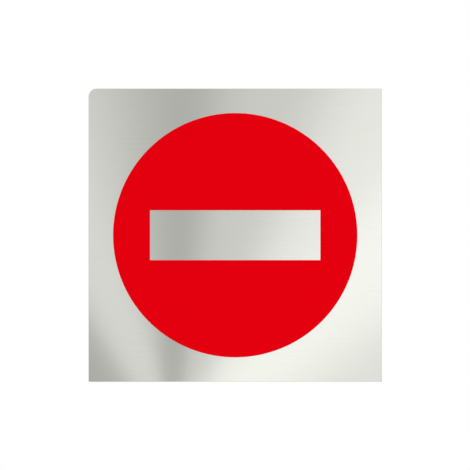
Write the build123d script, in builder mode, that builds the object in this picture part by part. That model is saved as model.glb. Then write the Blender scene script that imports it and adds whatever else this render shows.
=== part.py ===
"""A no entry sign for a wall, a door or a post: a square plate of brushed stainless steel with a red disc
of self-adhesive film on its face, and three strips of double-sided tape on its back that hold it up.

The origin is the middle of the sign on the surface that it is stuck to. The sign faces -Y, +Z is up
and +X is to the right for someone who reads it, so every piece is drawn on a plane that looks along -Y.
All sizes are in millimetres.
"""

from build123d import *
import os

# The steel plate, laser cut from brushed sheet
plate_width = 120.0
plate_height = 120.0
plate_thickness = 1.0
rounded_corner_radius = 3.3  # the upper corner on the left of someone who reads the sign
square_corner_radius = 0.3  # the other three, which are only deburred
arris_radius = 0.12  # the round that deburring leaves along both rims of the cut edge

# The red film, cut on a plotter, with a window through which the bare steel shows as the bar
disc_diameter = 100.0
bar_length = 69.7
bar_height = 20.4
window_corner_radius = 0.15  # the turn that the knife makes
film_thickness = 0.1

# The double-sided tape, in upright strips
strip_width = 12.0
strip_thickness = 1.0
tape_margin = 12.0  # bare steel left between the tape and the plate's edge, on all four sides

# The planes that the layers stand on, each looking out from the wall
wall_face = Plane.XZ
plate_back_face = wall_face.offset(strip_thickness)
plate_front_face = plate_back_face.offset(plate_thickness)

# Each strip's length, and its middle from side to side
strip_length = plate_height - 2 * tape_margin
outer_strip_x = plate_width / 2 - tape_margin - strip_width / 2
strip_places = {"left": -outer_strip_x, "middle": 0.0, "right": outer_strip_x}


def make_plate() -> Part:
    """The steel plate, with one rounded corner, three square ones and both rims of its edge deburred."""
    with BuildPart() as plate:
        with BuildSketch(plate_back_face):
            Rectangle(plate_width, plate_height)
        extrude(amount=plate_thickness)

        corners = plate.edges().filter_by(Axis.Y)
        upper_left = corners.group_by(Axis.Z)[-1].sort_by(Axis.X)[0]
        fillet(corners.filter_by(lambda corner: corner != upper_left), radius=square_corner_radius)

        upper_left = plate.edges().filter_by(Axis.Y).group_by(Axis.Z)[-1].sort_by(Axis.X)[0]
        fillet(upper_left, radius=rounded_corner_radius)

        fillet(plate.faces().filter_by(Axis.Y).edges(), radius=arris_radius)
    plate.part.label = "plate"
    return plate.part


def make_red_disc() -> Part:
    """The disc of red film, with the window that makes the sign's bar."""
    with BuildPart() as red_disc:
        with BuildSketch(plate_front_face):
            Circle(disc_diameter / 2)
            RectangleRounded(bar_length, bar_height, window_corner_radius, mode=Mode.SUBTRACT)
        extrude(amount=film_thickness)
    red_disc.part.label = "red_disc"
    return red_disc.part


def make_tape_strip(side: str, middle: float) -> Part:
    """One upright strip of double-sided tape, which fills the gap between the wall and the plate."""
    with BuildPart() as strip:
        with BuildSketch(wall_face):
            with Locations((middle, 0)):
                Rectangle(strip_width, strip_length)
        extrude(amount=strip_thickness)
    strip.part.label = f"tape_strip_{side}"
    return strip.part


pieces = [make_plate(), make_red_disc()]
for side, middle in strip_places.items():
    pieces.append(make_tape_strip(side, middle))

os.makedirs("parts", exist_ok=True)
for piece in pieces:
    export_step(piece, f"parts/{piece.label}.step")
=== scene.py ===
"""The looks of a no entry sign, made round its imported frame: a plate of brushed stainless steel, a disc of
red film with a window in it, and the strips of tape on the back.

The script is laid out as an add-on, with a group of settings and an operator for each kind of piece and
for the stage, and one panel that lists them. Everything is in metres. The sign faces -Y, +Z is up and +X
is to the right for someone who reads it, so a point of an outline is (x, z) and a depth is y.
"""

import bpy
import numpy as np
from bpy.props import FloatProperty, FloatVectorProperty, IntProperty, PointerProperty
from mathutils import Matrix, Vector


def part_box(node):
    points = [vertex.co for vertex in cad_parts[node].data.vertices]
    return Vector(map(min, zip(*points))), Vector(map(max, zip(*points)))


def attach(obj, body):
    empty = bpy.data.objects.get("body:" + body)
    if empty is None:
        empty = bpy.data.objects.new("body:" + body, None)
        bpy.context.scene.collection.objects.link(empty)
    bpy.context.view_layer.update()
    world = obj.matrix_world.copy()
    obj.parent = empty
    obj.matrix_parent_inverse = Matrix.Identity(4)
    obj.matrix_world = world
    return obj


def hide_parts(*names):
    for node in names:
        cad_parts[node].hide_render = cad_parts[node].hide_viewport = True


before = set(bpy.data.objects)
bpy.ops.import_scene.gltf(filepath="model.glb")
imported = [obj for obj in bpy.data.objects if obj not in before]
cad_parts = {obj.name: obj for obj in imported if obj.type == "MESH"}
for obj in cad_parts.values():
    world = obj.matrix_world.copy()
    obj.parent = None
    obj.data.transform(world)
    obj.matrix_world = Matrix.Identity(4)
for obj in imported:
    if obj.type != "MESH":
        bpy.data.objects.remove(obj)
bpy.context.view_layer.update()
plate_low, plate_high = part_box("plate")
film_low, film_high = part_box("red_disc")
wall_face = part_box("tape_strip_middle")[1].y

bl_info = {
    "name": "No entry sign",
    "version": (1, 0, 0),
    "blender": (4, 5, 0),
    "location": "View3D > Sidebar > Sign",
    "description": "Makes a no entry sign of brushed steel with a red film disc, and its studio",
    "category": "Add Mesh",
}

MM = 0.001
PLATE_MAP = "OFBake"  # a UV map of this name is kept when the finishes are baked
PLATE_MAP_FRONT_SHARE = 0.7  # of the map's width, for the front with its folded-out edge
PLATE_MAP_MARGIN = 0.01  # kept free at least round the front and the back, as a share of their half width
SHARP_ANGLE = np.radians(40)  # between two faces that meet at an edge which isn't shaded smooth
NODE_PITCH = 220  # from one node to the next in the node editor
NARROWEST_EDGE = 3 * MM  # of a panel of light

# The ripple of the tape's sides: the lengths in which its three sines turn by a radian, and how many
# radians each of them is ahead on the next strip
RIPPLE_LENGTHS = (1.9 * MM, 4.3 * MM, 11.0 * MM)
RIPPLE_SHIFT = 2.1

# The lamps: where each stands, the side of its square, and the level by which it lights what faces it
LAMPS = {
    "key_lamp": {"place": (-1.3, -2.6, 1.7), "side": 1.4, "level": 0.42},
    "side_lamp": {"place": (2.4, -1.6, 0.5), "side": 1.2, "level": 0.2},
    "back_lamp": {"place": (0.9, 2.4, 1.4), "side": 1.4, "level": 0.42},
}


class PlateSettings(bpy.types.PropertyGroup):
    """What the steel plate's box doesn't give: its corners, its rims and its finish."""

    rounded_corner: FloatProperty(
        name="Rounded corner",
        description="Radius of the upper corner on the reader's left",
        default=3.3 * MM,
        min=0.0,
        unit="LENGTH",
        precision=4,
    )
    square_corner: FloatProperty(
        name="Square corner",
        description="Radius that deburring leaves on the other three corners",
        default=0.3 * MM,
        min=0.0,
        unit="LENGTH",
        precision=4,
    )
    arris: FloatProperty(
        name="Arris",
        description="Radius of the round along both rims of the cut edge",
        default=0.12 * MM,
        min=0.0,
        unit="LENGTH",
        precision=5,
    )
    steel: FloatVectorProperty(
        name="Steel",
        description="Colour of the bare steel",
        default=(0.616, 0.62, 0.578),
        min=0.0,
        max=1.0,
        subtype="COLOR",
    )
    steps: IntProperty(
        name="Steps",
        description="Flat steps in each rounded corner and each arris",
        default=10,
        min=2,
    )


class FilmSettings(bpy.types.PropertyGroup):
    """What the red film's box doesn't give: its window, its cut edge and its colour."""

    window_length: FloatProperty(
        name="Window length",
        description="Length of the bar, from side to side",
        default=69.7 * MM,
        min=0.0,
        unit="LENGTH",
        precision=4,
    )
    window_height: FloatProperty(
        name="Window height",
        description="Height of the bar",
        default=20.4 * MM,
        min=0.0,
        unit="LENGTH",
        precision=4,
    )
    window_corner: FloatProperty(
        name="Window corner",
        description="Radius of the turn that the knife makes in each corner of the window",
        default=0.15 * MM,
        min=0.0,
        unit="LENGTH",
        precision=5,
    )
    rim: FloatProperty(
        name="Rim",
        description="Radius of the round on the film's cut edge",
        default=0.03 * MM,
        min=0.0,
        unit="LENGTH",
        precision=5,
    )
    red: FloatVectorProperty(
        name="Red",
        description="Colour of the film",
        default=(0.71, 0.0, 0.0043),
        min=0.0,
        max=1.0,
        subtype="COLOR",
    )
    rays: IntProperty(
        name="Rays",
        description="Steps round the disc",
        default=240,
        min=24,
    )


class TapeSettings(bpy.types.PropertyGroup):
    """How the strips of tape are squeezed between the wall and the plate, and their colour."""

    bulge: FloatProperty(
        name="Bulge",
        description="How far the middle of a strip's side stands out past its two faces",
        default=0.14 * MM,
        min=0.0,
        unit="LENGTH",
        precision=5,
    )
    ripple: FloatProperty(
        name="Ripple",
        description="How far a strip's side wanders along its length",
        default=0.05 * MM,
        min=0.0,
        unit="LENGTH",
        precision=5,
    )
    grey: FloatVectorProperty(
        name="Grey",
        description="Colour of the tape",
        default=(0.21, 0.21, 0.20),
        min=0.0,
        max=1.0,
        subtype="COLOR",
    )
    stations: IntProperty(
        name="Stations",
        description="Outlines of the section that a strip is made of, from its foot to its head",
        default=120,
        min=2,
    )
    side_steps: IntProperty(
        name="Side steps",
        description="Flat steps in the bulge of a strip's side",
        default=6,
        min=2,
    )


class StudioSettings(bpy.types.PropertyGroup):
    """Where the camera stands, and how bright the studio is."""

    photo_pixels: IntProperty(
        name="Photo pixels",
        description="Width and height of the square photograph",
        default=470,
        min=1,
        subtype="PIXEL",
    )
    plate_pixels: FloatProperty(
        name="Plate pixels",
        description="Width of the plate in the photograph, in its pixels",
        default=293.2,
        min=1.0,
        subtype="PIXEL",
    )
    plate_middle: FloatVectorProperty(
        name="Plate middle",
        description="Middle of the plate in the photograph, in its pixels",
        default=(235.2, 235.2),
        size=2,
    )
    lens: FloatProperty(
        name="Lens",
        description="Focal length of the camera, in millimetres",
        default=150.0,
        min=1.0,
        unit="CAMERA",
    )
    sensor: FloatProperty(
        name="Sensor",
        description="Width of the camera's sensor, in millimetres",
        default=36.0,
        min=1.0,
        unit="CAMERA",
    )
    daylight: FloatProperty(
        name="Daylight",
        description="How much of the plain light comes evenly from all round",
        default=0.55,
        min=0.0,
        max=1.0,
        subtype="FACTOR",
    )
    front_wall_foot: FloatProperty(
        name="Front wall foot",
        description="How far the lower end of the front light wall is from the sign's face",
        default=0.03,
        unit="LENGTH",
    )
    front_wall_head: FloatProperty(
        name="Front wall head",
        description="How far the upper end of the front light wall is from the sign's face",
        default=0.15,
        unit="LENGTH",
    )
    back_wall_foot: FloatProperty(
        name="Back wall foot",
        description="How far the lower end of the back light wall is from the plate's back",
        default=0.12,
        unit="LENGTH",
    )
    back_wall_head: FloatProperty(
        name="Back wall head",
        description="How far the upper end of the back light wall is from the plate's back",
        default=0.06,
        unit="LENGTH",
    )
    floor_drop: FloatProperty(
        name="Floor drop",
        description="Height of the sign's middle over the floor",
        default=0.7,
        unit="LENGTH",
    )
    floor_radius: FloatProperty(
        name="Floor radius",
        description="Radius of the round floor, which fades into the air towards its rim",
        default=3.0,
        unit="LENGTH",
    )
    floor_grey: FloatVectorProperty(
        name="Floor grey",
        description="Colour of the floor",
        default=(0.86, 0.86, 0.86),
        min=0.0,
        max=1.0,
        subtype="COLOR",
    )
    floor_glow: FloatProperty(
        name="Floor glow",
        description="How much white is added to the floor where it is looked at, without lighting anything",
        default=0.2,
        min=0.0,
        max=1.0,
        subtype="FACTOR",
    )


class SignSettings(bpy.types.PropertyGroup):
    """All the settings of the sign."""

    plate: PointerProperty(type=PlateSettings)
    film: PointerProperty(type=FilmSettings)
    tape: PointerProperty(type=TapeSettings)
    studio: PointerProperty(type=StudioSettings)


# Outlines and surfaces


def rounded_rectangle(half_size, radii, steps):
    """Outline of a rectangle with rounded corners, anticlockwise for the reader, and its outward normals.

    A corner is a quarter circle whose centre lies one radius in from both sides. Its point at angle a is
    the centre plus the radius times (cos a, sin a), and the normal there is (cos a, sin a).
    The radii are those of the upper right, upper left, lower left and lower right corner.
    """
    quarter = np.linspace(0, np.pi / 2, steps + 1)
    angle = (np.arange(4)[:, None] * np.pi / 2 + quarter).ravel()
    normal = np.stack([np.cos(angle), np.sin(angle)], axis=1)
    towards = np.array([[1, 1], [-1, 1], [-1, -1], [1, -1]])
    radii = np.array(radii)[:, None]
    centre = towards * (half_size - radii)
    points = np.repeat(centre, steps + 1, axis=0) + np.repeat(radii, steps + 1, axis=0) * normal
    return points, normal


def quarter_round(radius, steps):
    """A round from a face to the side next to it: how far in from the side, and how far below the face.

    At angle a, which goes from a right angle on the face to 0 on the side, they are the radius times
    1 - cos a and the radius times 1 - sin a.
    """
    angle = np.linspace(np.pi / 2, 0, steps + 1)
    return radius * (1 - np.cos(angle)), radius * (1 - np.sin(angle))


def placed(flat, depth):
    """Points (x, z) of one or many outlines, set at their depths y."""
    return np.stack([flat[..., 0], np.broadcast_to(depth, flat.shape[:-1]), flat[..., 1]], axis=-1)


def grid_quads(rows, columns, closed_columns):
    """Faces of a grid of points whose rows close on themselves, as the numbers of their four corners."""
    row = np.arange(rows)[:, None]
    column = np.arange(columns if closed_columns else columns - 1)[None, :]
    after_row = (row + 1) % rows
    after_column = (column + 1) % columns
    corners = [
        row * columns + column,
        row * columns + after_column,
        after_row * columns + after_column,
        after_row * columns + column,
    ]
    return np.stack([np.broadcast_to(c, corners[0].shape) for c in corners], axis=-1).reshape(-1, 4)


def plate_surface(settings):
    """The plate, as a profile carried round its outline, with a flat cap on its front and its back.

    Point (i, j) is point i of the outline, moved inwards along its normal by inset j, at depth j. The
    profile goes from the front face over one arris, across the cut edge and over the other arris to the
    back face. Given with the points are their places (x, z) when the edge is folded out flat round the
    front face: each is as far out from the rim of that face as the profile is long up to it.
    """
    half_size = np.array([plate_high.x - plate_low.x, plate_high.z - plate_low.z]) / 2
    square = settings.square_corner
    radii = [square, settings.rounded_corner, square, square]
    outline, normal = rounded_rectangle(half_size, radii, settings.steps)

    arris_inset, arris_depth = quarter_round(settings.arris, settings.steps)
    inset = np.concatenate([arris_inset, arris_inset[::-1]])
    depth = np.concatenate([plate_low.y + arris_depth, plate_high.y - arris_depth[::-1]])
    points = placed(outline[:, None, :] - inset[:, None] * normal[:, None, :], depth)

    along = np.concatenate([[0.0], np.cumsum(np.hypot(np.diff(inset), np.diff(depth)))])
    folded_out = outline[:, None, :] + (along - settings.arris)[:, None] * normal[:, None, :]
    return points, folded_out


def film_surface(settings):
    """The film, as a closed profile carried round the disc, from the window's edge to the disc's edge.

    For each angle a, the profile's outer end is the disc's radius times (cos a, sin a), and its inner end is
    where the same ray leaves the window: at the lesser of half its length over |cos a| and half its height
    over |sin a|, or on the small round of its corner. Both ends rise from the plate along the edge's own
    normal and turn over a quarter round onto the film's face, where they meet. Below, the profile closes.
    """
    radius = (film_high.x - film_low.x) / 2
    half_window = np.array([settings.window_length, settings.window_height]) / 2
    corner_points, corner_normals = rounded_rectangle(half_window, [settings.window_corner] * 4, steps=4)
    corner_angle = np.arctan2(corner_points[:, 1], corner_points[:, 0])

    ray_angle = np.linspace(-np.pi, np.pi, settings.rays, endpoint=False)
    from_corners = np.abs(np.angle(np.exp(1j * (ray_angle[:, None] - corner_angle)))).min(axis=1)
    ray_angle = ray_angle[from_corners > np.pi / settings.rays / 2]
    ray = np.stack([np.cos(ray_angle), np.sin(ray_angle)], axis=1)
    with np.errstate(divide="ignore"):
        reach = half_window / np.abs(ray)
    nearer = reach.min(axis=1)[:, None]
    side_points = ray * nearer
    side_normals = np.sign(ray) * (reach == nearer)

    angle = np.concatenate([corner_angle, ray_angle])
    order = np.argsort(angle)
    angle = angle[order]
    inner = np.concatenate([corner_points, side_points])[order]
    inner_normal = np.concatenate([corner_normals, side_normals])[order]
    outer_normal = np.stack([np.cos(angle), np.sin(angle)], axis=1)
    outer = radius * outer_normal

    rim_inset, rim_depth = quarter_round(settings.rim, steps=4)
    flat_inset = 1.5 * settings.rim  # from here on the face is shaded flat
    inset = np.concatenate([[0.0], rim_inset[::-1], [flat_inset]])
    depth = np.concatenate([[film_high.y], film_low.y + rim_depth[::-1], [film_low.y]])
    from_window = inner[:, None, :] + inset[:, None] * inner_normal[:, None, :]
    from_rim = outer[:, None, :] - inset[:, None] * outer_normal[:, None, :]
    thirds = np.array([[1 / 3], [2 / 3]])  # of the way across the face, to keep its triangles from being thin
    between = inner[:, None, :] + thirds * (outer - inner)[:, None, :]
    return placed(
        np.concatenate([from_window, between, from_rim[:, ::-1]], axis=1),
        np.concatenate([depth, [film_low.y, film_low.y], depth[::-1]]),
    )


def tape_surface(low, high, number, settings):
    """A strip of tape in its box, as the section of squeezed tape carried from its foot to its head.

    At share t of the way from one face to the other, the side stands in from the box by the bulge times
    (2 t - 1) squared, and by a ripple that is the mean of three sines of the height. The number of the
    strip shifts the sines, so that no two strips are alike.
    """
    height = np.linspace(low.z, high.z, settings.stations)
    waves = [np.sin(height / length + RIPPLE_SHIFT * number + length / MM) for length in RIPPLE_LENGTHS]
    ripple = settings.ripple * (np.mean(waves, axis=0) + 1) / 2
    ripple[[0, -1]] = 0.0  # the ends are as wide as the box

    share = np.linspace(0, 1, settings.side_steps + 1)
    inset = settings.bulge * (2 * share - 1) ** 2
    side = (high.x - low.x) / 2 - inset[None, :] - ripple[:, None]
    x = (high.x + low.x) / 2 + np.concatenate([side, -side[:, ::-1]], axis=1)
    depth = low.y + (high.y - low.y) * np.concatenate([share, share[::-1]])
    return placed(np.stack([x, np.broadcast_to(height[:, None], x.shape)], axis=-1), depth)


def make_piece(name, points, faces, materials):
    """An object at the origin, from points and from faces as lists of their corners' numbers."""
    mesh = bpy.data.meshes.new(name)
    mesh.from_pydata(points.reshape(-1, 3).tolist(), [], faces)
    for material in materials:
        mesh.materials.append(material)
    piece = bpy.data.objects.new(name, mesh)
    bpy.context.scene.collection.objects.link(piece)
    return piece


def corner_table(mesh):
    """The vertex and the face of each corner of a mesh's faces."""
    vertex = np.empty(len(mesh.loops), dtype=np.int32)
    mesh.loops.foreach_get("vertex_index", vertex)
    corners = np.empty(len(mesh.polygons), dtype=np.int32)
    mesh.polygons.foreach_get("loop_total", corners)
    return vertex, np.repeat(np.arange(len(mesh.polygons)), corners)


# Node trees


def add_node(tree, kind, inputs=None, **settings):
    """A new node, with its settings, and with its inputs linked to a socket or set to a value."""
    node = tree.nodes.new(kind)
    node.location = (NODE_PITCH * len(tree.nodes), 0)
    for key, value in settings.items():
        setattr(node, key, value)
    for key, value in (inputs or {}).items():
        if isinstance(value, bpy.types.NodeSocket):
            tree.links.new(value, node.inputs[key])
        else:
            node.inputs[key].default_value = value
    return node


def math(tree, operation, *values):
    """The result of a Math node."""
    return add_node(tree, "ShaderNodeMath", dict(enumerate(values)), operation=operation).outputs[0]


def vector_math(tree, operation, **inputs):
    """The outputs of a Vector Math node, whose inputs a, b and c are vectors and scale is a number."""
    places = {"a": 0, "b": 1, "c": 2, "scale": "Scale"}
    inputs = {places[key]: value for key, value in inputs.items()}
    return add_node(tree, "ShaderNodeVectorMath", inputs, operation=operation).outputs


def noise(tree, place, scale=1.0, detail=2.0, roughness=0.5):
    """A noise from 0 to 1."""
    inputs = {"Vector": place, "Scale": scale, "Detail": detail, "Roughness": roughness}
    return add_node(tree, "ShaderNodeTexNoise", inputs).outputs["Fac"]


def spread(tree, value, low, high, start=0.0, end=1.0, kind="LINEAR"):
    """A value that runs from start to end, carried over to run from low to high."""
    inputs = {"Value": value, "From Min": start, "From Max": end, "To Min": low, "To Max": high}
    return add_node(tree, "ShaderNodeMapRange", inputs, interpolation_type=kind).outputs["Result"]


def blend_colours(tree, share, first, second):
    """The first colour at share 0, and the second at share 1."""
    return add_node(tree, "ShaderNodeMix", {0: share, 6: first, 7: second}, data_type="RGBA").outputs[2]


def blend_values(tree, share, first, second):
    """The first value at share 0, and the second at share 1."""
    return add_node(tree, "ShaderNodeMix", {0: share, 2: first, 3: second}, data_type="FLOAT").outputs[0]


def bump(tree, height, distance):
    """The normal of a surface with that height, in metres at height 1."""
    return add_node(tree, "ShaderNodeBump", {"Height": height, "Distance": distance}).outputs["Normal"]


def new_group(name, inputs, outputs):
    """An empty shader node group with named inputs, each with its kind and default, and named outputs."""
    group = bpy.data.node_groups.new(name, "ShaderNodeTree")
    for label, kind, default in inputs:
        socket = group.interface.new_socket(name=label, in_out="INPUT", socket_type=kind)
        socket.default_value = default
    for label, kind in outputs:
        group.interface.new_socket(name=label, in_out="OUTPUT", socket_type=kind)
    taken_in = group.nodes.new("NodeGroupInput").outputs
    given_out = group.nodes.new("NodeGroupOutput").inputs
    return group, taken_in, given_out


def use_group(tree, name, make, inputs):
    """The outputs of the group of that name, which is made once, with its inputs linked or set."""
    group = bpy.data.node_groups.get(name) or make(name)
    return add_node(tree, "ShaderNodeGroup", inputs, node_tree=group).outputs


def make_parallel_lines(name):
    """Fine lines, as brushing, rolling or cutting leaves them.

    Density says how many lines or line lengths fit in a metre along each axis. Lines is noise stretched by
    that density, plus the same a few times finer, from 0 to 1. Scratches are the few that stand out.
    """
    group, taken_in, given_out = new_group(
        name,
        [
            ("Vector", "NodeSocketVector", (0.0, 0.0, 0.0)),
            ("Density", "NodeSocketVector", (50.0, 2500.0, 2500.0)),
        ],
        [("Lines", "NodeSocketFloat"), ("Scratches", "NodeSocketFloat")],
    )
    finer_by = 3.7
    stretched = vector_math(group, "MULTIPLY", a=taken_in["Vector"], b=taken_in["Density"])["Vector"]
    finer = vector_math(group, "SCALE", a=stretched, scale=finer_by)["Vector"]
    wide_lines = noise(group, stretched, roughness=0.6)
    fine_lines = noise(group, finer, roughness=0.6)
    group.links.new(blend_values(group, 0.5, wide_lines, fine_lines), given_out["Lines"])

    longer = (0.6, 1.3, 1.3)
    shift = (7.0, 3.0, 5.0)
    elsewhere = vector_math(group, "MULTIPLY_ADD", a=stretched, b=longer, c=shift)["Vector"]
    few = noise(group, elsewhere, detail=0.0)
    scratches = spread(group, few, 0.0, 1.0, start=0.74, end=0.84, kind="SMOOTHSTEP")
    group.links.new(scratches, given_out["Scratches"])
    return group


def parallel_lines(tree, place, density):
    """The parallel lines group in a material, with its own density."""
    return use_group(tree, "parallel_lines", make_parallel_lines, {"Vector": place, "Density": density})


def make_soft_edge(name):
    """A mask that rises from 0 to 1 across a straight soft edge.

    The distance of a point along Direction is compared with Position. How far the rise takes goes from
    Lower Width at the foot of the sign to Upper Width at its head, and on beyond both.
    """
    group, taken_in, given_out = new_group(
        name,
        [
            ("Vector", "NodeSocketVector", (0.0, 0.0, 0.0)),
            ("Direction", "NodeSocketVector", (1.0, 0.0, 0.0)),
            ("Position", "NodeSocketFloat", 0.0),
            ("Lower Width", "NodeSocketFloat", 0.01),
            ("Upper Width", "NodeSocketFloat", 0.03),
        ],
        [("Mask", "NodeSocketFloat")],
    )
    along = vector_math(group, "DOT_PRODUCT", a=taken_in["Vector"], b=taken_in["Direction"])["Value"]
    height = add_node(group, "ShaderNodeSeparateXYZ", {0: taken_in["Vector"]}).outputs["Z"]
    widths = {
        "Value": height,
        "From Min": plate_low.z,
        "From Max": plate_high.z,
        "To Min": taken_in["Lower Width"],
        "To Max": taken_in["Upper Width"],
    }
    width = add_node(group, "ShaderNodeMapRange", widths, clamp=False).outputs["Result"]
    width = math(group, "MAXIMUM", width, NARROWEST_EDGE)
    start = math(group, "MULTIPLY_ADD", width, -0.5, taken_in["Position"])
    end = math(group, "MULTIPLY_ADD", width, 0.5, taken_in["Position"])
    mask = spread(group, along, 0.0, 1.0, start, end, kind="SMOOTHSTEP")
    group.links.new(mask, given_out["Mask"])
    return group


# Finishes


def shade(colour, level):
    """A colour with alpha 1, made lighter or darker by a level."""
    return (*(level * part for part in colour), 1.0)


def new_material(name):
    """A material with nothing but its output and a Principled shader, and the Object coordinates."""
    material = bpy.data.materials.new(name)
    material.use_nodes = True
    tree = material.node_tree
    tree.nodes.clear()
    shader = add_node(tree, "ShaderNodeBsdfPrincipled")
    add_node(tree, "ShaderNodeOutputMaterial", {"Surface": shader.outputs["BSDF"]})
    place = add_node(tree, "ShaderNodeTexCoord").outputs["Object"]
    return material, tree, shader, place


def brushed_face_finish(settings):
    """The steel's face, brushed from side to side, so that it spreads a reflection up and down."""
    material, tree, shader, place = new_material("brushed_face")
    hairlines = parallel_lines(tree, place, density=(60.0, 6000.0, 6000.0))
    streaks = parallel_lines(tree, place, density=(12.0, 500.0, 500.0))
    streak_share = 0.15
    grain = blend_values(tree, streak_share, hairlines["Lines"], streaks["Lines"])
    grain = spread(tree, grain, 0.0, 1.0, start=0.35, end=0.65)
    tone = blend_colours(tree, grain, shade(settings.steel, 0.97), shade(settings.steel, 1.03))
    scratch_roughness = 0.03
    grain_roughness = spread(tree, grain, 0.22, 0.18)
    rough = math(tree, "MULTIPLY_ADD", hairlines["Scratches"], scratch_roughness, grain_roughness)
    along = add_node(tree, "ShaderNodeTangent", direction_type="UV_MAP", uv_map=PLATE_MAP).outputs["Tangent"]
    tree.links.new(tone, shader.inputs["Base Color"])
    tree.links.new(rough, shader.inputs["Roughness"])
    tree.links.new(bump(tree, hairlines["Lines"], distance=0.003 * MM), shader.inputs["Normal"])
    tree.links.new(along, shader.inputs["Tangent"])
    shader.inputs["Metallic"].default_value = 1.0
    shader.inputs["Anisotropic"].default_value = 0.8
    shader.inputs["Anisotropic Rotation"].default_value = 0.25  # from along the lines to across them
    return material


def cut_edge_finish(settings):
    """The plate's laser-cut edge: fine and bright where the beam went in, coarser and duller behind that."""
    material, tree, shader, place = new_material("cut_edge")
    fine = parallel_lines(tree, place, density=(9000.0, 400.0, 9000.0))
    coarse = parallel_lines(tree, place, density=(4200.0, 700.0, 4200.0))
    depth = add_node(tree, "ShaderNodeSeparateXYZ", {0: place}).outputs["Y"]
    thickness = plate_high.y - plate_low.y
    wander = 0.3 * thickness
    wandering_depth = math(tree, "MULTIPLY_ADD", coarse["Lines"], wander, depth)
    fine_end = plate_low.y + 0.4 * thickness
    coarse_start = plate_low.y + 0.7 * thickness
    behind = spread(tree, wandering_depth, 0.0, 1.0, fine_end, coarse_start, kind="SMOOTHSTEP")
    lines = blend_values(tree, behind, fine["Lines"], coarse["Lines"])
    grain = spread(tree, lines, 0.0, 1.0, start=0.3, end=0.7)
    front_tone = blend_colours(tree, grain, shade(settings.steel, 0.68), shade(settings.steel, 0.96))
    behind_tone = blend_colours(tree, grain, shade(settings.steel, 0.5), shade(settings.steel, 0.82))
    tree.links.new(blend_colours(tree, behind, front_tone, behind_tone), shader.inputs["Base Color"])
    tree.links.new(spread(tree, behind, 0.3, 0.45), shader.inputs["Roughness"])
    tree.links.new(bump(tree, lines, distance=0.015 * MM), shader.inputs["Normal"])
    shader.inputs["Metallic"].default_value = 1.0
    return material


def mill_back_finish(settings):
    """The plate's back, left dull as the rolling mill made it, with faint lines along the sheet."""
    material, tree, shader, place = new_material("mill_back")
    lines = parallel_lines(tree, place, density=(30.0, 1100.0, 1100.0))
    cloud = noise(tree, place, scale=70.0, detail=4.0)
    frost = noise(tree, place, scale=5200.0, detail=1.0)
    line_share = 0.4
    skin = blend_values(tree, line_share, blend_values(tree, 0.5, cloud, frost), lines["Lines"])
    skin = spread(tree, skin, 0.0, 1.0, start=0.35, end=0.65)
    tone = blend_colours(tree, skin, shade(settings.steel, 0.92), shade(settings.steel, 1.0))
    scratch_roughness = -0.05
    cloud_roughness = spread(tree, cloud, 0.26, 0.34, start=0.3, end=0.7)
    rough = math(tree, "MULTIPLY_ADD", lines["Scratches"], scratch_roughness, cloud_roughness)
    tree.links.new(tone, shader.inputs["Base Color"])
    tree.links.new(rough, shader.inputs["Roughness"])
    tree.links.new(bump(tree, skin, distance=0.003 * MM), shader.inputs["Normal"])
    shader.inputs["Metallic"].default_value = 1.0
    return material


def film_finish(settings):
    """Flat red vinyl, which shows a trace of the brushing under it. Its gloss is red but at a slant."""
    material, tree, shader, place = new_material("red_vinyl")
    lines = parallel_lines(tree, place, density=(30.0, 1500.0, 1500.0))
    peel = noise(tree, place, scale=1400.0, detail=1.0)
    line_height = 0.3  # where that of the orange peel is 1
    height = math(tree, "MULTIPLY_ADD", lines["Lines"], line_height, peel)
    tone = blend_colours(tree, peel, shade(settings.red, 0.995), shade(settings.red, 1.005))
    tree.links.new(tone, shader.inputs["Base Color"])
    tree.links.new(spread(tree, lines["Lines"], 0.36, 0.44), shader.inputs["Roughness"])
    tree.links.new(bump(tree, height, distance=0.006 * MM), shader.inputs["Normal"])
    shader.inputs["Specular Tint"].default_value = (1.0, 0.0, 0.0, 1.0)
    shader.inputs["Specular IOR Level"].default_value = 0.3
    return material


def tape_finish(settings):
    """Grey acrylic tape, dull on its cut sides and a little wet-looking on the face that sticks."""
    material, tree, shader, place = new_material("mounting_tape")
    depth = add_node(tree, "ShaderNodeSeparateXYZ", {0: place}).outputs["Y"]
    skin_start = wall_face - 0.03 * MM
    skin_end = wall_face - 0.005 * MM
    sticky = spread(tree, depth, 0.0, 1.0, skin_start, skin_end)
    specks = noise(tree, place, scale=2600.0)
    cloud = noise(tree, place, scale=120.0)
    speck_share = 0.6
    mixed = blend_values(tree, speck_share, cloud, specks)
    tone = blend_colours(tree, mixed, shade(settings.grey, 0.8), shade(settings.grey, 1.2))
    rough = blend_values(tree, sticky, spread(tree, specks, 0.6, 0.8), spread(tree, cloud, 0.28, 0.45))
    tree.links.new(tone, shader.inputs["Base Color"])
    tree.links.new(rough, shader.inputs["Roughness"])
    tree.links.new(bump(tree, mixed, distance=0.03 * MM), shader.inputs["Normal"])
    return material


# Operators


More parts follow.
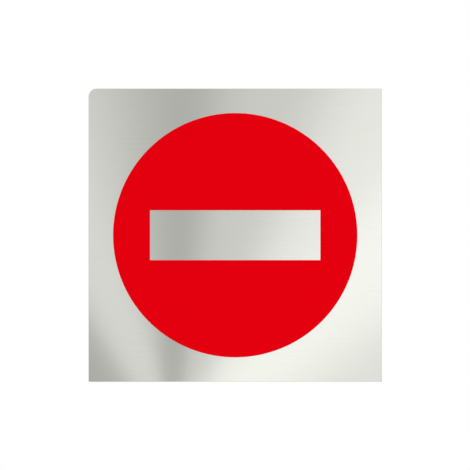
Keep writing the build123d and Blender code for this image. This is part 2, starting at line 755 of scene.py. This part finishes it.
class SIGN_OT_make_plate(bpy.types.Operator):
    """Make the steel plate, and let it stand for the plate of the frame"""

    bl_idname = "sign.make_plate"
    bl_label = "Make the steel plate"

    def execute(self, context):
        settings = context.scene.sign_settings.plate
        points, folded_out = plate_surface(settings)
        rows, columns = points.shape[:2]
        edge = grid_quads(rows, columns, closed_columns=False)
        front = np.arange(rows) * columns
        back = front[::-1] + columns - 1

        materials = [brushed_face_finish(settings), cut_edge_finish(settings), mill_back_finish(settings)]
        faces = [front.tolist(), back.tolist(), *edge.tolist()]
        brushed, cut, milled = range(3)
        slots = np.array([brushed, milled] + [cut] * len(edge), dtype=np.int32)
        piece = make_piece("sign_plate", points, faces, materials)
        piece.data.polygons.foreach_set("material_index", slots)
        piece.data.polygons.foreach_set("use_smooth", slots == cut)
        self.lay_out_map(piece.data, points, folded_out)
        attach(piece, "root")
        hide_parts("plate")
        return {"FINISHED"}

    def lay_out_map(self, mesh, points, folded_out):
        """A map with the front and the folded-out edge in a large square, and the back in a small one."""
        reach = (1 + PLATE_MAP_MARGIN) * np.abs(folded_out).max()
        vertex, face = corner_table(mesh)
        flat = folded_out.reshape(-1, 2)[vertex] / reach
        from_behind = points.reshape(-1, 3)[vertex][:, [0, 2]] * (-1, 1) / reach
        large = (flat + 1) / 2 * PLATE_MAP_FRONT_SHARE
        small = (from_behind + 1) / 2 * (1 - PLATE_MAP_FRONT_SHARE) + (PLATE_MAP_FRONT_SHARE, 0)
        back_face = 1
        places = np.where((face == back_face)[:, None], small, large)
        layer = mesh.uv_layers.new(name=PLATE_MAP, do_init=False)
        layer.uv.foreach_set("vector", places.astype(np.float32).ravel())


class SIGN_OT_make_film(bpy.types.Operator):
    """Make the red film disc, and let it stand for the disc of the frame"""

    bl_idname = "sign.make_film"
    bl_label = "Make the red film"

    def execute(self, context):
        settings = context.scene.sign_settings.film
        points = film_surface(settings)
        faces = grid_quads(*points.shape[:2], closed_columns=True)
        piece = make_piece("red_film", points, faces.tolist(), [film_finish(settings)])
        piece.data.shade_smooth()
        piece.data.set_sharp_from_angle(angle=SHARP_ANGLE)
        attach(piece, "root")
        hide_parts("red_disc")
        return {"FINISHED"}


class SIGN_OT_make_tape(bpy.types.Operator):
    """Make the strips of tape, and let each stand for its strip of the frame"""

    bl_idname = "sign.make_tape"
    bl_label = "Make the tape"

    def execute(self, context):
        settings = context.scene.sign_settings.tape
        material = tape_finish(settings)
        strips = sorted(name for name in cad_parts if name.startswith("tape_strip_"))
        for number, node in enumerate(strips):
            points = tape_surface(*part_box(node), number, settings)
            rows, columns = points.shape[:2]
            sides = grid_quads(rows, columns, closed_columns=True)[: (rows - 1) * columns]
            foot = np.arange(columns)[::-1]
            head = np.arange(columns) + (rows - 1) * columns
            faces = [*sides.tolist(), foot.tolist(), head.tolist()]
            piece = make_piece(node + "_squeezed", points, faces, [material])
            piece.data.shade_smooth()
            piece.data.set_sharp_from_angle(angle=SHARP_ANGLE)
            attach(piece, "root")
            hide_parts(node)
        return {"FINISHED"}


class LightWall:
    """A sheet of light near the sign, which only polished things see, with soft panels drawn on it.

    It stands at depth foot at its lower end and head at its upper end. Its panels are drawn as large as
    the steel shows them from straight before it, with the vectors (x, z) and the lengths in millimetres.
    """

    reach = 0.22  # from its middle to each side
    shown_size = 0.9  # of a panel's size on the sheet, because the rays spread on their way there
    shown_level = 0.62  # of the sheet's light, because steel is no perfect mirror
    fading = (0.65, 0.98)  # the shares of the reach between which the rim fades away

    def __init__(self, name, foot, head):
        corners = np.array([[-1, -1], [1, -1], [1, 1], [-1, 1]]) * self.reach
        mesh = bpy.data.meshes.new(name)
        mesh.from_pydata(placed(corners, np.array([foot, foot, head, head])).tolist(), [], [[0, 1, 2, 3]])
        material = bpy.data.materials.new(name)
        material.use_nodes = True
        mesh.materials.append(material)
        self.tree = material.node_tree
        self.tree.nodes.clear()
        self.place = add_node(self.tree, "ShaderNodeTexCoord").outputs["Object"]
        self.shown = vector_math(self.tree, "SCALE", a=self.place, scale=self.shown_size)["Vector"]
        sheet = bpy.data.objects.new(name, mesh)
        for ray in ("camera", "diffuse", "transmission", "volume_scatter", "shadow"):
            setattr(sheet, "visible_" + ray, False)
        bpy.context.scene.collection.objects.link(sheet)

    def panel(self, direction, position, lower_width, upper_width=None):
        """The part of the sheet beyond a soft edge across the direction."""
        edge = {
            "Vector": self.shown,
            "Direction": Vector((direction[0], 0, direction[1])).normalized(),
            "Position": position * MM,
            "Lower Width": lower_width * MM,
            "Upper Width": (upper_width or lower_width) * MM,
        }
        return use_group(self.tree, "soft_edge", make_soft_edge, edge)["Mask"]

    def light(self, level, *panels):
        """Light the sheet at a level, and each panel by its rise more, with a rim that fades away."""
        for rise, mask in panels:
            level = math(self.tree, "MULTIPLY_ADD", mask, rise, level)
        strength = math(self.tree, "DIVIDE", level, self.shown_level)
        light = add_node(self.tree, "ShaderNodeEmission", {"Strength": strength}).outputs[0]
        clear = add_node(self.tree, "ShaderNodeBsdfTransparent").outputs[0]
        parts = add_node(self.tree, "ShaderNodeSeparateXYZ", {0: self.place}).outputs
        across = math(self.tree, "ABSOLUTE", parts["X"])
        up = math(self.tree, "ABSOLUTE", parts["Z"])
        off_middle = math(self.tree, "MAXIMUM", across, up)
        start, end = (share * self.reach for share in self.fading)
        solid = spread(self.tree, off_middle, 1.0, 0.0, start, end, kind="SMOOTHSTEP")
        faded = add_node(self.tree, "ShaderNodeMixShader", {0: solid, 1: clear, 2: light}).outputs[0]
        add_node(self.tree, "ShaderNodeOutputMaterial", {"Surface": faded})


class SIGN_OT_make_studio(bpy.types.Operator):
    """Make the studio: its air, floor, lamps, light walls and camera"""

    bl_idname = "sign.make_studio"
    bl_label = "Make the studio"

    def execute(self, context):
        settings = context.scene.sign_settings.studio
        self.light_the_air(context.scene, settings)
        self.lay_the_floor(settings)
        for name, lamp in LAMPS.items():
            self.add_lamp(name, **lamp)
        self.hang_the_front_wall(settings)
        self.hang_the_back_wall(settings)
        self.place_the_camera(context.scene, settings)
        context.scene.view_settings.view_transform = "Standard"
        return {"FINISHED"}

    def seen_directly(self, tree):
        """1 for what the camera sees, also in metal or through glass, and 0 for what lights things."""
        path = add_node(tree, "ShaderNodeLightPath").outputs
        seen = math(tree, "MAXIMUM", path["Is Camera Ray"], path["Is Glossy Ray"])
        return math(tree, "MAXIMUM", seen, path["Is Transmission Ray"])

    def light_the_air(self, scene, settings):
        """White air all round, which lights things by less than it shows."""
        world = bpy.data.worlds.new("studio_air")
        world.use_nodes = True
        tree = world.node_tree
        tree.nodes.clear()
        strength = spread(tree, self.seen_directly(tree), settings.daylight, 1.0)
        air = add_node(tree, "ShaderNodeBackground", {"Color": (1, 1, 1, 1), "Strength": strength})
        add_node(tree, "ShaderNodeOutputWorld", {"Surface": air.outputs[0]})
        scene.world = world

    def lay_the_floor(self, settings):
        """A round pale floor that fades into the white air towards its rim, and keeps shadows.

        From below it is clear, so that it doesn't hide the sign there.
        """
        corners = 96
        turn = np.linspace(0, 2 * np.pi, corners, endpoint=False)
        ring = settings.floor_radius * np.stack([np.cos(turn), np.sin(turn), np.zeros_like(turn)], axis=1)
        mesh = bpy.data.meshes.new("floor")
        mesh.from_pydata((ring - (0, 0, settings.floor_drop)).tolist(), [], [list(range(corners))])
        material, tree, shader, place = new_material("pale_floor")
        mesh.materials.append(material)
        shader.inputs["Base Color"].default_value = shade(settings.floor_grey, 1.0)
        shader.inputs["Roughness"].default_value = 0.9
        shader.inputs["Specular IOR Level"].default_value = 0.0
        shader.inputs["Emission Color"].default_value = (1, 1, 1, 1)
        glow = math(tree, "MULTIPLY", self.seen_directly(tree), settings.floor_glow)
        tree.links.new(glow, shader.inputs["Emission Strength"])
        level_place = vector_math(tree, "MULTIPLY", a=place, b=(1, 1, 0))["Vector"]
        away = vector_math(tree, "LENGTH", a=level_place)["Value"]
        fade_start = 0.3 * settings.floor_radius
        fade_end = 0.95 * settings.floor_radius
        solid = spread(tree, away, 1.0, 0.0, fade_start, fade_end, kind="SMOOTHSTEP")
        from_below = add_node(tree, "ShaderNodeNewGeometry").outputs["Backfacing"]
        from_above = math(tree, "SUBTRACT", 1.0, from_below)
        tree.links.new(math(tree, "MULTIPLY", solid, from_above), shader.inputs["Alpha"])
        floor = bpy.data.objects.new("floor", mesh)
        bpy.context.scene.collection.objects.link(floor)

    def add_lamp(self, name, place, side, level):
        """A square soft lamp that points at the sign, and lights what faces it there by that level.

        A matte surface that faces a small lamp of power P at distance d shows its own colour times
        P / (pi squared times d squared), so the power is the level times that divisor.
        """
        lamp = bpy.data.lights.new(name, "AREA")
        body = bpy.data.objects.new(name, lamp)
        away = -Vector(place)
        lamp.size = side
        lamp.energy = level * np.pi**2 * away.length_squared
        body.location = place
        body.rotation_euler = away.to_track_quat("-Z", "Y").to_euler()
        body.visible_glossy = False
        bpy.context.scene.collection.objects.link(body)

    def hang_the_front_wall(self, settings):
        """The sheet of light that the brushed face shows, with its levels as the steel shows them.

        It is dark, with a light strip down its left side but for the foot, and grows lighter in three soft
        steps towards the right. Its lower right corner is darker, and it darkens past the sign.
        """
        foot = plate_low.y - settings.front_wall_foot
        head = plate_low.y - settings.front_wall_head
        wall = LightWall("front_light_wall", foot, head)
        left_side = wall.panel((-1, -0.175), position=39.5, lower_width=3, upper_width=77)
        clear_of_foot = wall.panel((0.84, 0.54), position=-68, lower_width=3)
        left_strip = math(wall.tree, "MULTIPLY", left_side, clear_of_foot)
        middle = wall.panel((1, -0.11), position=-14, lower_width=3, upper_width=34)
        right = wall.panel((0.92, -0.4), position=13.5, lower_width=5, upper_width=37)
        far_right = wall.panel((0.74, -0.67), position=32, lower_width=17)
        lower_right_corner = wall.panel((0.59, -0.81), position=64.5, lower_width=27)
        past_right_side = wall.panel((1, 0.15), position=108, lower_width=55)
        past_left_side = wall.panel((-1, 0.1), position=112, lower_width=50)
        past_foot = wall.panel((0, -1), position=105, lower_width=60)
        wall.light(
            0.40,
            (0.29, left_strip),
            (0.185, middle),
            (0.21, right),
            (0.14, far_right),
            (-0.21, lower_right_corner),
            (-0.42, past_right_side),
            (-0.22, past_left_side),
            (-0.12, past_foot),
        )

    def hang_the_back_wall(self, settings):
        """The sheet of light that the plate's back shows, lighter above and in a strip down one side."""
        foot = plate_high.y + settings.back_wall_foot
        head = plate_high.y + settings.back_wall_head
        wall = LightWall("back_light_wall", foot, head)
        above = wall.panel((0.45, 1), position=8, lower_width=60)
        side = wall.panel((-1, 0.3), position=30, lower_width=40)
        past_strip = wall.panel((-1, 0.3), position=62, lower_width=40)
        wall.light(0.40, (0.26, above), (0.20, side), (-0.12, past_strip))

    def place_the_camera(self, scene, settings):
        """A camera straight in front of the sign, at which the plate is as wide as in the photograph."""
        pixel = (plate_high.x - plate_low.x) / settings.plate_pixels
        distance = settings.photo_pixels * pixel * settings.lens / settings.sensor
        right, down = (Vector(settings.plate_middle) - Vector((1, 1)) * settings.photo_pixels / 2) * pixel
        middle = (plate_low + plate_high) / 2
        camera = bpy.data.cameras.new("camera")
        camera.lens = settings.lens
        camera.sensor_width = settings.sensor
        body = bpy.data.objects.new("camera", camera)
        body.location = (middle.x - right, plate_low.y - distance, middle.z + down)
        body.rotation_euler = (np.pi / 2, 0, 0)
        scene.collection.objects.link(body)
        scene.camera = body


class SIGN_PT_panel(bpy.types.Panel):
    """The sign's settings and operators, in the sidebar of the 3D view"""

    bl_idname = "SIGN_PT_panel"
    bl_label = "No entry sign"
    bl_space_type = "VIEW_3D"
    bl_region_type = "UI"
    bl_category = "Sign"

    def draw(self, context):
        settings = context.scene.sign_settings
        groups = (settings.plate, settings.film, settings.tape, settings.studio)
        for group, operator in zip(groups, OPERATORS):
            box = self.layout.box()
            for name in group.bl_rna.properties.keys():
                if name not in ("rna_type", "name"):
                    box.prop(group, name)
            box.operator(operator.bl_idname)


OPERATORS = (SIGN_OT_make_plate, SIGN_OT_make_film, SIGN_OT_make_tape, SIGN_OT_make_studio)
SETTINGS = (PlateSettings, FilmSettings, TapeSettings, StudioSettings, SignSettings)
CLASSES = (*SETTINGS, *OPERATORS, SIGN_PT_panel)


def register():
    for each in CLASSES:
        bpy.utils.register_class(each)
    bpy.types.Scene.sign_settings = PointerProperty(type=SignSettings)


def unregister():
    del bpy.types.Scene.sign_settings
    for each in reversed(CLASSES):
        bpy.utils.unregister_class(each)


def main():
    register()
    bpy.ops.sign.make_plate()
    bpy.ops.sign.make_film()
    bpy.ops.sign.make_tape()
    bpy.ops.sign.make_studio()


if __name__ == "__main__":
    main()
